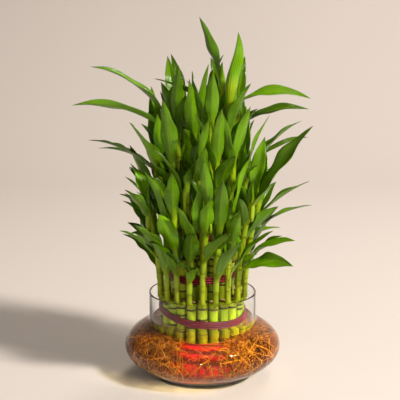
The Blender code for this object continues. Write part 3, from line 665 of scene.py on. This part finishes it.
def bowlArc(inset, lowRadius, highRadius, count):
    wide, tall = bowlLooks["radius"] - inset, bowlLooks["halfHeight"] - inset
    low, high = -math.acos(lowRadius / wide), math.acos(highRadius / wide)
    turns = [low + (high - low) * step / (count - 1) for step in range(count)]
    return [(wide * math.cos(turn), bowlLooks["middle"] + tall * math.sin(turn)) for turn in turns]


def eased(points, radius, steps=4):
    # the outline with each of its inner corners turned into a short curve
    found = [points[0]]
    for before, here, after in zip(points, points[1:], points[2:]):
        a, b, c = Vector(before), Vector(here), Vector(after)
        start = b + (a - b).normalized() * min(radius, (a - b).length * 0.45)
        end = b + (c - b).normalized() * min(radius, (c - b).length * 0.45)
        for step in range(steps + 1):
            t = step / steps
            found.append(tuple(start * (1 - t) ** 2 + b * (2 * t * (1 - t)) + end * t**2))
    return found + [points[-1]]


def turnedPiece(name, profile, material):
    # long straight runs are cut short, so that a bend's smooth shading stays at the bend
    outline = [profile[0]]
    for before, after in zip(profile, profile[1:]):
        cuts = max(1, math.ceil(math.dist(before, after) / (1.5 * mm)))
        outline += [tuple(Vector(before).lerp(Vector(after), cut / cuts)) for cut in range(1, cuts + 1)]
    mesh = bmesh.new()
    points = [mesh.verts.new((radius, 0.0, z)) for radius, z in outline]
    edges = [mesh.edges.new(pair) for pair in zip(points, points[1:])]
    steps = bowlLooks["steps"]
    bmesh.ops.spin(mesh, geom=points + edges, axis=(0, 0, 1), cent=(0, 0, 0), angle=math.tau, steps=steps, use_merge=True)
    data = bpy.data.meshes.new(name)
    mesh.to_mesh(data)
    mesh.free()
    data.materials.append(material)
    made = bpy.data.objects.new(name, data)
    bpy.context.scene.collection.objects.link(made)
    faceOutwards(made)
    data.shade_smooth()
    return made


def makeBowl():
    looks = bowlLooks
    glass, neck, rim = looks["glass"], looks["neck"], looks["rim"]
    outer = bowlArc(0.0, looks["foot"] + 1.5 * mm, neck + 2.6 * mm, 44)
    inner = bowlArc(glass, 52.0 * mm, neck - glass + 1.6 * mm, 40)
    foot = [(0.0, 0.0), (looks["foot"], 0.0), (looks["foot"], outer[0][1] - 0.9 * mm), outer[0]]
    shoulder = [outer[-2], outer[-1], (neck, outer[-1][1] + 2.6 * mm), (neck, rim - 3 * mm)]
    lip = []
    thin = looks["lip"]
    for step in range(11):
        turn = math.pi * step / 10
        lip.append((neck - thin / 2 + math.cos(turn) * thin / 2, rim - thin / 2 + math.sin(turn) * thin / 2))
    inside = [(neck - glass, inner[-1][1] + 3.0 * mm), *reversed(inner), (47.0 * mm, looks["floor"])]
    profile = eased(foot, 1.6 * mm)[:-1] + outer[:-2] + eased(shoulder, 1.6 * mm) + lip + inside
    profile.append((0.0, looks["floor"]))
    bowl = turnedPiece("glassBowlBlown", profile, clearMaterial("sodaLimeGlassBlown", looks["glassColour"], 1.45))
    finishPiece(bowl, "glass", "glass_vase")
    # still tap water, faintly amber from the roots, drawn up a little where it meets the glass
    into = glass - 0.08 * mm
    wall = bowlArc(into, 52.0 * mm, neck - into + 1.6 * mm, 40)
    top, side = looks["water"], neck - into
    profile = [(0.0, looks["floor"] - 0.06 * mm), (47.0 * mm, looks["floor"] - 0.06 * mm), *wall]
    profile += [(side, wall[-1][1] + 3.0 * mm), (side, top), (side - 0.5 * mm, top - 0.5 * mm)]
    profile += [(side - 1.6 * mm, top - 1.0 * mm), (side - 3.5 * mm, top - 1.2 * mm), (0.0, top - 1.2 * mm)]
    water = turnedPiece("waterStill", profile, clearMaterial("waterStillAmber", looks["waterColour"], 1.33))
    finishPiece(water, "water", "water")
    print("bowl and water made")


makeBowl()


# Living root, wet: hair-thin glossy fibres, golden where they catch the light, around a dark brown core that is
# painted shade for the depth of the tangle.

rootLooks = {
    "count": 3350,
    "length": 52 * mm,
    "thickness": 0.25 * mm,  # half of it; real hairs are down to 0.2 across, which would not show
    "light": "#e8a026",
    "middle": "#a55a08",
    "dark": "#401a03",
    "seed": 7,
    "frontWidth": 34 * mm,
    "frontTop": 37 * mm,
    "top": 41 * mm,
    "coreIn": 48.5 * mm,
    "coreOut": 75 * mm,
    "tilt": 0.10,
}


def rootMaterial():
    material, tree, shader = newMaterial("livingRootWet", {"Roughness": 0.4, "IOR": 1.06})
    tone = addNode(tree, "ShaderNodeAttribute", attribute_name="rootTone").outputs["Fac"]
    place = addNode(tree, "ShaderNodeTexCoord").outputs["Object"]
    speck = addNode(tree, "ShaderNodeTexNoise", {"Vector": place, "Scale": 240.0, "Detail": 2.0}).outputs[0]
    mixed = addNode(tree, "ShaderNodeMath", {0: speck, 1: 0.5, 2: tone}, operation="MULTIPLY_ADD").outputs[0]
    share = addNode(tree, "ShaderNodeMapRange", {0: mixed, 1: 0.2, 2: 1.25}).outputs[0]
    ramp = addNode(tree, "ShaderNodeValToRGB", {0: share})
    stops = ramp.color_ramp.elements
    stops[0].color, stops[1].color = srgb(rootLooks["dark"]), srgb(rootLooks["light"])
    stops.new(0.55).color = srgb(rootLooks["middle"])
    tree.links.new(ramp.outputs[0], shader.inputs["Base Color"])
    return material


def rootTree(material, sizes):
    tree = bpy.data.node_groups.new("rootFibres", "GeometryNodeTree")
    face = tree.interface
    face.new_socket("Geometry", in_out="INPUT", socket_type="NodeSocketGeometry")
    for name in sizes:
        kind = "NodeSocketInt" if name == "Seed" else "NodeSocketFloat"
        face.new_socket(name, in_out="INPUT", socket_type=kind)
    face.new_socket("Geometry", in_out="OUTPUT", socket_type="NodeSocketGeometry")
    given = addNode(tree, "NodeGroupInput").outputs
    place = addNode(tree, "GeometryNodeInputPosition").outputs[0]

    # starting points all over the tangle, drawn inwards by a random share
    spread = addNode(
        tree, "GeometryNodeDistributePointsOnFaces",
        {"Mesh": given["Geometry"], "Density": given["Density"], "Seed": given["Seed"]},
    ).outputs["Points"]
    inwards = addNode(tree, "FunctionNodeRandomValue", {2: 0.66, 3: 1.0, "Seed": 11}).outputs[1]
    level = addNode(tree, "ShaderNodeSeparateXYZ", {0: place}).outputs
    drawn = [addNode(tree, "ShaderNodeMath", {0: level[i], 1: inwards}, operation="MULTIPLY").outputs[0] for i in (0, 1)]
    start = addNode(tree, "ShaderNodeCombineXYZ", {0: drawn[0], 1: drawn[1], 2: level[2]}).outputs[0]
    points = addNode(tree, "GeometryNodeSetPosition", {"Geometry": spread, "Position": start}).outputs[0]

    # they thin out in front of the canes and the wide ribbon
    aside = addNode(tree, "ShaderNodeMath", {0: level[0]}, operation="ABSOLUTE").outputs[0]
    beside = addNode(tree, "ShaderNodeMapRange", {0: aside, 1: 0.6, 2: 1.0}).outputs[0]
    tree.links.new(given["Front width"], beside.node.inputs[2])
    inner = addNode(tree, "ShaderNodeMath", {0: given["Front width"], 1: 0.5}, operation="MULTIPLY").outputs[0]
    tree.links.new(inner, beside.node.inputs[1])
    behind = addNode(tree, "ShaderNodeMapRange", {0: level[1], 1: -0.02, 2: 0.0}).outputs[0]
    low = addNode(tree, "ShaderNodeMapRange", {0: level[2], 3: 0.2, 4: 0.03}).outputs[0]
    tree.links.new(given["Front top"], low.node.inputs[2])
    under = addNode(tree, "ShaderNodeMath", {0: given["Front top"], 1: 6 * mm}, operation="SUBTRACT").outputs[0]
    tree.links.new(under, low.node.inputs[1])
    side = addNode(tree, "ShaderNodeMath", {0: beside, 1: behind}, operation="MAXIMUM").outputs[0]
    kept = addNode(tree, "ShaderNodeMath", {0: side, 1: low}, operation="MAXIMUM").outputs[0]
    dice = addNode(tree, "FunctionNodeRandomValue", {2: 0.0, 3: 1.0, "Seed": 15}).outputs[1]
    spare = addNode(tree, "FunctionNodeCompare", {0: dice, 1: kept}, operation="GREATER_THAN").outputs[0]
    thinned = addNode(
        tree, "GeometryNodeDeleteGeometry", {"Geometry": points, "Selection": spare}, domain="POINT"
    ).outputs[0]

    # each fibre is one bent three-sided tube, laid round the bowl and tipped at random
    tangent = addNode(
        tree, "ShaderNodeVectorMath", {0: (0.0, 0.0, 1.0), 1: place}, operation="CROSS_PRODUCT"
    ).outputs[0]
    level = addNode(tree, "ShaderNodeVectorMath", {0: tangent}, operation="NORMALIZE").outputs[0]
    stray = addNode(tree, "FunctionNodeRandomValue", {"Seed": 12}, data_type="FLOAT_VECTOR")
    stray.inputs[0].default_value, stray.inputs[1].default_value = (-1.3, -1.3, -2.2), (1.3, 1.3, 2.2)
    lean = addNode(tree, "ShaderNodeVectorMath", {0: level, 1: stray.outputs[0]}, operation="ADD").outputs[0]
    turn = addNode(tree, "FunctionNodeAlignRotationToVector", {"Vector": lean}, axis="X").outputs[0]
    roll = addNode(tree, "FunctionNodeRandomValue", {2: 0.0, 3: math.tau, "Seed": 16}).outputs[1]
    rolled = addNode(tree, "ShaderNodeCombineXYZ", {0: roll}).outputs[0]
    turned = addNode(tree, "FunctionNodeRotateRotation", {0: turn, 1: rolled}, rotation_space="LOCAL").outputs[0]
    ends = []
    for share in (-0.5, 0.5):
        reach = addNode(tree, "ShaderNodeMath", {0: given["Length"], 1: share}, operation="MULTIPLY").outputs[0]
        ends.append(addNode(tree, "ShaderNodeCombineXYZ", {0: reach}).outputs[0])
    sag = addNode(tree, "ShaderNodeMath", {0: given["Length"], 1: 0.3}, operation="MULTIPLY").outputs[0]
    middle = addNode(tree, "ShaderNodeCombineXYZ", {1: sag}).outputs[0]
    arc = addNode(
        tree, "GeometryNodeCurveQuadraticBezier",
        {"Resolution": 8, "Start": ends[0], "Middle": middle, "End": ends[1]},
    ).outputs[0]
    round3 = addNode(
        tree, "GeometryNodeCurvePrimitiveCircle", {"Resolution": 3, "Radius": given["Thickness"]}
    ).outputs[0]
    fibre = addNode(
        tree, "GeometryNodeCurveToMesh", {"Curve": arc, "Profile Curve": round3, "Fill Caps": True}
    ).outputs[0]
    size = addNode(tree, "FunctionNodeRandomValue", {2: 0.5, 3: 1.3, "Seed": 13}).outputs[1]
    copies = addNode(
        tree, "GeometryNodeInstanceOnPoints", {"Points": thinned, "Instance": fibre, "Rotation": turned, "Scale": size}
    ).outputs[0]
    tone = addNode(tree, "FunctionNodeRandomValue", {2: 0.0, 3: 1.0, "Seed": 14}).outputs[1]
    rare = addNode(tree, "ShaderNodeMath", {0: tone, 1: 1.5}, operation="POWER").outputs[0]
    toned = addNode(
        tree, "GeometryNodeStoreNamedAttribute", {"Geometry": copies, "Name": "rootTone", "Value": rare},
        data_type="FLOAT", domain="INSTANCE",
    ).outputs[0]
    solid = addNode(tree, "GeometryNodeRealizeInstances", {"Geometry": toned}).outputs[0]

    # they wander, and what would stand past the glass lies against it
    wander = addNode(tree, "ShaderNodeTexNoise", {"Vector": place, "Scale": 45.0, "Detail": 1.0}).outputs["Color"]
    around = addNode(
        tree, "ShaderNodeVectorMath", {0: wander, 1: (0.5, 0.5, 0.5)}, operation="SUBTRACT"
    ).outputs[0]
    push = addNode(
        tree, "ShaderNodeVectorMath", {0: around, 1: (0.014, 0.014, 0.014)}, operation="MULTIPLY"
    ).outputs[0]
    moved = addNode(tree, "GeometryNodeSetPosition", {"Geometry": solid, "Offset": push}).outputs[0]
    lift = addNode(tree, "ShaderNodeCombineXYZ", {2: given["Bowl middle"]}).outputs[0]
    centred = addNode(tree, "ShaderNodeVectorMath", {0: place, 1: lift}, operation="SUBTRACT").outputs[0]
    scale = addNode(
        tree, "ShaderNodeCombineXYZ",
        {0: given["Bowl radius"], 1: given["Bowl radius"], 2: given["Bowl half height"]},
    ).outputs[0]
    share = addNode(tree, "ShaderNodeVectorMath", {0: centred, 1: scale}, operation="DIVIDE").outputs[0]
    reach = addNode(tree, "ShaderNodeVectorMath", {0: share}, operation="LENGTH").outputs["Value"]
    past = addNode(tree, "ShaderNodeMath", {0: reach, 1: 1.0}, operation="MAXIMUM").outputs[0]
    shrink = addNode(tree, "ShaderNodeMath", {0: 1.0, 1: past}, operation="DIVIDE").outputs[0]
    pulled = addNode(
        tree, "ShaderNodeVectorMath", {0: centred, "Scale": shrink}, operation="SCALE"
    ).outputs[0]
    back = addNode(tree, "ShaderNodeVectorMath", {0: pulled, 1: lift}, operation="ADD").outputs[0]
    ground = addNode(tree, "ShaderNodeCombineXYZ", {0: -1.0, 1: -1.0, 2: given["Floor"]}).outputs[0]
    above = addNode(tree, "ShaderNodeVectorMath", {0: back, 1: ground}, operation="MAXIMUM").outputs[0]
    depth = addNode(tree, "ShaderNodeSeparateXYZ", {0: place}).outputs[1]
    tilted = addNode(
        tree, "ShaderNodeMath", {0: depth, 1: -rootLooks["tilt"], 2: given["Top"]}, operation="MULTIPLY_ADD"
    ).outputs[0]
    cover = addNode(tree, "ShaderNodeCombineXYZ", {0: 1.0, 1: 1.0, 2: tilted}).outputs[0]
    held = addNode(tree, "ShaderNodeVectorMath", {0: above, 1: cover}, operation="MINIMUM").outputs[0]
    inside = addNode(tree, "GeometryNodeSetPosition", {"Geometry": moved, "Position": held}).outputs[0]
    painted = addNode(tree, "GeometryNodeSetMaterial", {"Geometry": inside, "Material": material}).outputs[0]
    addNode(tree, "NodeGroupOutput", {"Geometry": painted})
    return tree


def rootShadeCore():
    # the closely grown middle of the tangle, open at the front where the wide ribbon shows; its dark brown is painted
    # shade for the depth of the tangle
    looks, shape, steps, around = rootLooks, Shape(), 90, 18
    rows, open_ = [], 0.95
    low = 8 * mm
    for step in range(steps + 1):
        share = step / steps
        turn = -math.pi / 2 + open_ + (math.tau - 2 * open_) * share
        full = min(1.0, 8 * min(share, 1 - share)) ** 0.5
        high = looks["top"] - 1.5 * mm - looks["tilt"] * 60 * mm * math.sin(turn)
        lump = 1 + 0.10 * math.sin(9 * turn) + 0.07 * math.sin(23 * turn + 1.0)
        wide, tall = (looks["coreOut"] - looks["coreIn"]) / 2 * full, (high - low) / 2 * (0.4 + 0.6 * full)
        ring = []
        for place in range(around):
            t = math.tau * place / around
            rough = lump * (1 + 0.12 * math.sin(5 * t + 17 * turn))
            aside = math.copysign(abs(math.cos(t)) ** 0.5, math.cos(t))
            level = math.copysign(abs(math.sin(t)) ** 0.5, math.sin(t))
            radius = looks["coreIn"] + wide + wide * aside * (rough if aside > 0 else 1.0)
            z = (low + high) / 2 + tall * level * min(1.0, rough)
            across, rise = radius / (73.5 * mm), (z - bowlLooks["middle"]) / (28.5 * mm)
            shrink = 1 / max(1.0, math.hypot(across, rise))
            ring.append(polar(radius * shrink, turn, bowlLooks["middle"] + (z - bowlLooks["middle"]) * shrink))
        rows.append(ring)
    shape.skin(rows, 0, caps=(True, True))
    return shape


def makeRoots():
    ground = bmesh.new()
    ground.from_mesh(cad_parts["root_mass"].data)
    bmesh.ops.remove_doubles(ground, verts=ground.verts, dist=0.01 * mm)
    hidden = [face for face in ground.faces if face.calc_center_median().xy.length < 47 * mm]
    bmesh.ops.delete(ground, geom=hidden, context="FACES")
    area = sum(face.calc_area() for face in ground.faces)
    data = bpy.data.meshes.new("rootGround")
    ground.to_mesh(data)
    ground.free()
    holder = bpy.data.objects.new("rootGround", data)
    bpy.context.scene.collection.objects.link(holder)
    inset = bowlLooks["glass"] + 0.8 * mm
    sizes = {
        "Density": rootLooks["count"] / area,
        "Length": rootLooks["length"],
        "Thickness": rootLooks["thickness"],
        "Bowl radius": bowlLooks["radius"] - inset,
        "Bowl half height": bowlLooks["halfHeight"] - inset,
        "Bowl middle": bowlLooks["middle"],
        "Floor": bowlLooks["floor"] + 0.5 * mm,
        "Top": rootLooks["top"],
        "Front width": rootLooks["frontWidth"],
        "Front top": rootLooks["frontTop"],
        "Seed": rootLooks["seed"],
    }
    material = rootMaterial()
    tree = rootTree(material, sizes)
    modifier = holder.modifiers.new("fibres", "NODES")
    modifier.node_group = tree
    for item in tree.interface.items_tree:
        if item.in_out == "INPUT" and item.name in sizes:
            modifier[item.identifier] = sizes[item.name]
    graph = bpy.context.evaluated_depsgraph_get()
    made = bpy.data.meshes.new_from_object(holder.evaluated_get(graph), depsgraph=graph)
    bpy.data.objects.remove(holder)
    made.name = "rootTangle"
    core = rootShadeCore()
    joined = bmesh.new()
    joined.from_mesh(made)
    # the core carries no fibre tone, so it comes out dark brown: painted shade deep in the tangle
    corePoints = [joined.verts.new(point) for point in core.points]
    for corners in core.faces:
        joined.faces.new([corePoints[corner] for corner in corners]).smooth = True
    for face in joined.faces:
        face.material_index = 0
    joined.to_mesh(made)
    joined.free()
    made.materials.clear()
    made.materials.append(material)
    made.calc_loop_triangles()
    piece = bpy.data.objects.new("rootTangle", made)
    bpy.context.scene.collection.objects.link(piece)
    finishPiece(piece, "roots", "root_mass")
    print("roots made, triangles", len(made.loop_triangles))


makeRoots()


# The stage: a seamless warm paper sweep, painted darker up the wall and darker again at the upper left as painted
# shade, a soft lamp from the right, a small one in front, and the camera.

stageLooks = {
    "away": 1.5,
    "above": math.radians(13.0),
    "aim": (-2.5 * mm, 0.0, 182.0 * mm),
    "seen": 0.4,
    # the wall and shade colours are painted shade on the paper: darker up the wall, darker still at the upper left
    "floor": "#d6ccc4",
    "wall": "#c9bfb8",
    "shade": "#a39a94",
    "world": "#fff9f4",
    "worldLight": 0.14,
    "worldMirrored": 0.05,
    "worldThroughGlass": 0.85,
    "lamps": {
        "keyLamp": ((1.6, -1.2, 1.85), 0.36, 98.0, "#fffaf3"),
        "frontLamp": ((-0.02, -1.65, 0.30), 0.13, 2.6, "#ffffff"),
        "fillLamp": ((-1.2, -0.9, 0.8), 0.9, 0.9, "#f6f8ff"),
        "backLamp": ((0.3, 0.8, 1.35), 0.4, 6.5, "#fffaf2"),
    },
}


def makeSweep():
    shape, profile = Shape(), [(-2.2, 0.0), (0.9, 0.0)]
    for step in range(1, 17):
        turn = math.pi / 2 * step / 16
        profile.append((0.9 + 0.7 * math.sin(turn), 0.7 - 0.7 * math.cos(turn)))
    profile.append((1.6, 2.8))
    shape.skin([[Vector((-3.0, y, z)), Vector((3.0, y, z))] for y, z in profile], 0, around=False)
    material, tree, shader = newMaterial("paperSweepMattPaintedShade", {"Roughness": 0.9, "Specular IOR Level": 0.1})
    place = addNode(tree, "ShaderNodeTexCoord").outputs["Object"]
    height = addNode(tree, "ShaderNodeSeparateXYZ", {0: place}).outputs[2]
    share = addNode(tree, "ShaderNodeMapRange", {0: height, 1: 0.0, 2: 1.1}).outputs[0]
    looks = stageLooks
    # painted shade: the paper turns from the floor colour to the darker wall colour with height
    colour = addNode(
        tree, "ShaderNodeMix", {0: share, 6: srgb(looks["floor"]), 7: srgb(looks["wall"])}, data_type="RGBA"
    ).outputs[2]
    # painted shadow: the upper left, away from the key lamp, is painted darker still
    side = addNode(tree, "ShaderNodeSeparateXYZ", {0: place}).outputs[0]
    left = addNode(tree, "ShaderNodeMapRange", {0: side, 1: 0.4, 2: -0.5}).outputs[0]
    corner = addNode(tree, "ShaderNodeMath", {0: left, 1: share}, operation="MULTIPLY").outputs[0]
    colour = addNode(
        tree, "ShaderNodeMix", {0: corner, 6: colour, 7: srgb(looks["shade"])}, data_type="RGBA"
    ).outputs[2]
    tree.links.new(colour, shader.inputs["Base Color"])
    shape.piece("paperSweep", [material])


def makeStage():
    looks, scene = stageLooks, bpy.context.scene
    makeSweep()
    world = bpy.data.worlds.new("softRoom")
    world.use_nodes = True
    tree = world.node_tree
    # what is seen through the glass, or mirrored inside it, is the pale room; other mirrored light stays low
    path = addNode(tree, "ShaderNodeLightPath").outputs
    entered = addNode(tree, "ShaderNodeMath", {0: path["Transmission Depth"], 1: 1.0}, operation="MINIMUM").outputs[0]
    within = addNode(
        tree, "ShaderNodeMath", {0: path["Is Glossy Ray"], 1: entered}, operation="MULTIPLY"
    ).outputs[0]
    clear = addNode(
        tree, "ShaderNodeMath", {0: path["Is Transmission Ray"], 1: within}, operation="MAXIMUM"
    ).outputs[0]
    mirrored = addNode(
        tree, "ShaderNodeMapRange",
        {0: path["Is Glossy Ray"], 3: looks["worldLight"], 4: looks["worldMirrored"]},
    ).outputs[0]
    strength = addNode(tree, "ShaderNodeMapRange", {0: clear, 3: mirrored, 4: looks["worldThroughGlass"]}).outputs[0]
    tree.links.new(strength, tree.nodes["Background"].inputs["Strength"])
    tree.nodes["Background"].inputs["Color"].default_value = srgb(looks["world"])
    scene.world = world
    for name, (place, size, power, colour) in looks["lamps"].items():
        data = bpy.data.lights.new(name, "AREA")
        data.size, data.energy, data.color = size, power, srgb(colour)[:3]
        lamp = bpy.data.objects.new(name, data)
        lamp.location = place
        lamp.rotation_euler = (Vector((0, 0, 0.17)) - Vector(place)).to_track_quat("-Z", "Y").to_euler()
        scene.collection.objects.link(lamp)
    data = bpy.data.cameras.new("camera")
    camera = bpy.data.objects.new("camera", data)
    aim = Vector(looks["aim"])
    camera.location = aim + Vector((0, -math.cos(looks["above"]), math.sin(looks["above"]))) * looks["away"]
    camera.rotation_euler = (aim - camera.location).to_track_quat("-Z", "Y").to_euler()
    data.angle = 2 * math.atan(looks["seen"] / 2 / looks["away"])
    scene.collection.objects.link(camera)
    scene.camera = camera
    scene.view_settings.view_transform = "Standard"
    print("stage made")


makeStage()
bpy.context.view_layer.update()
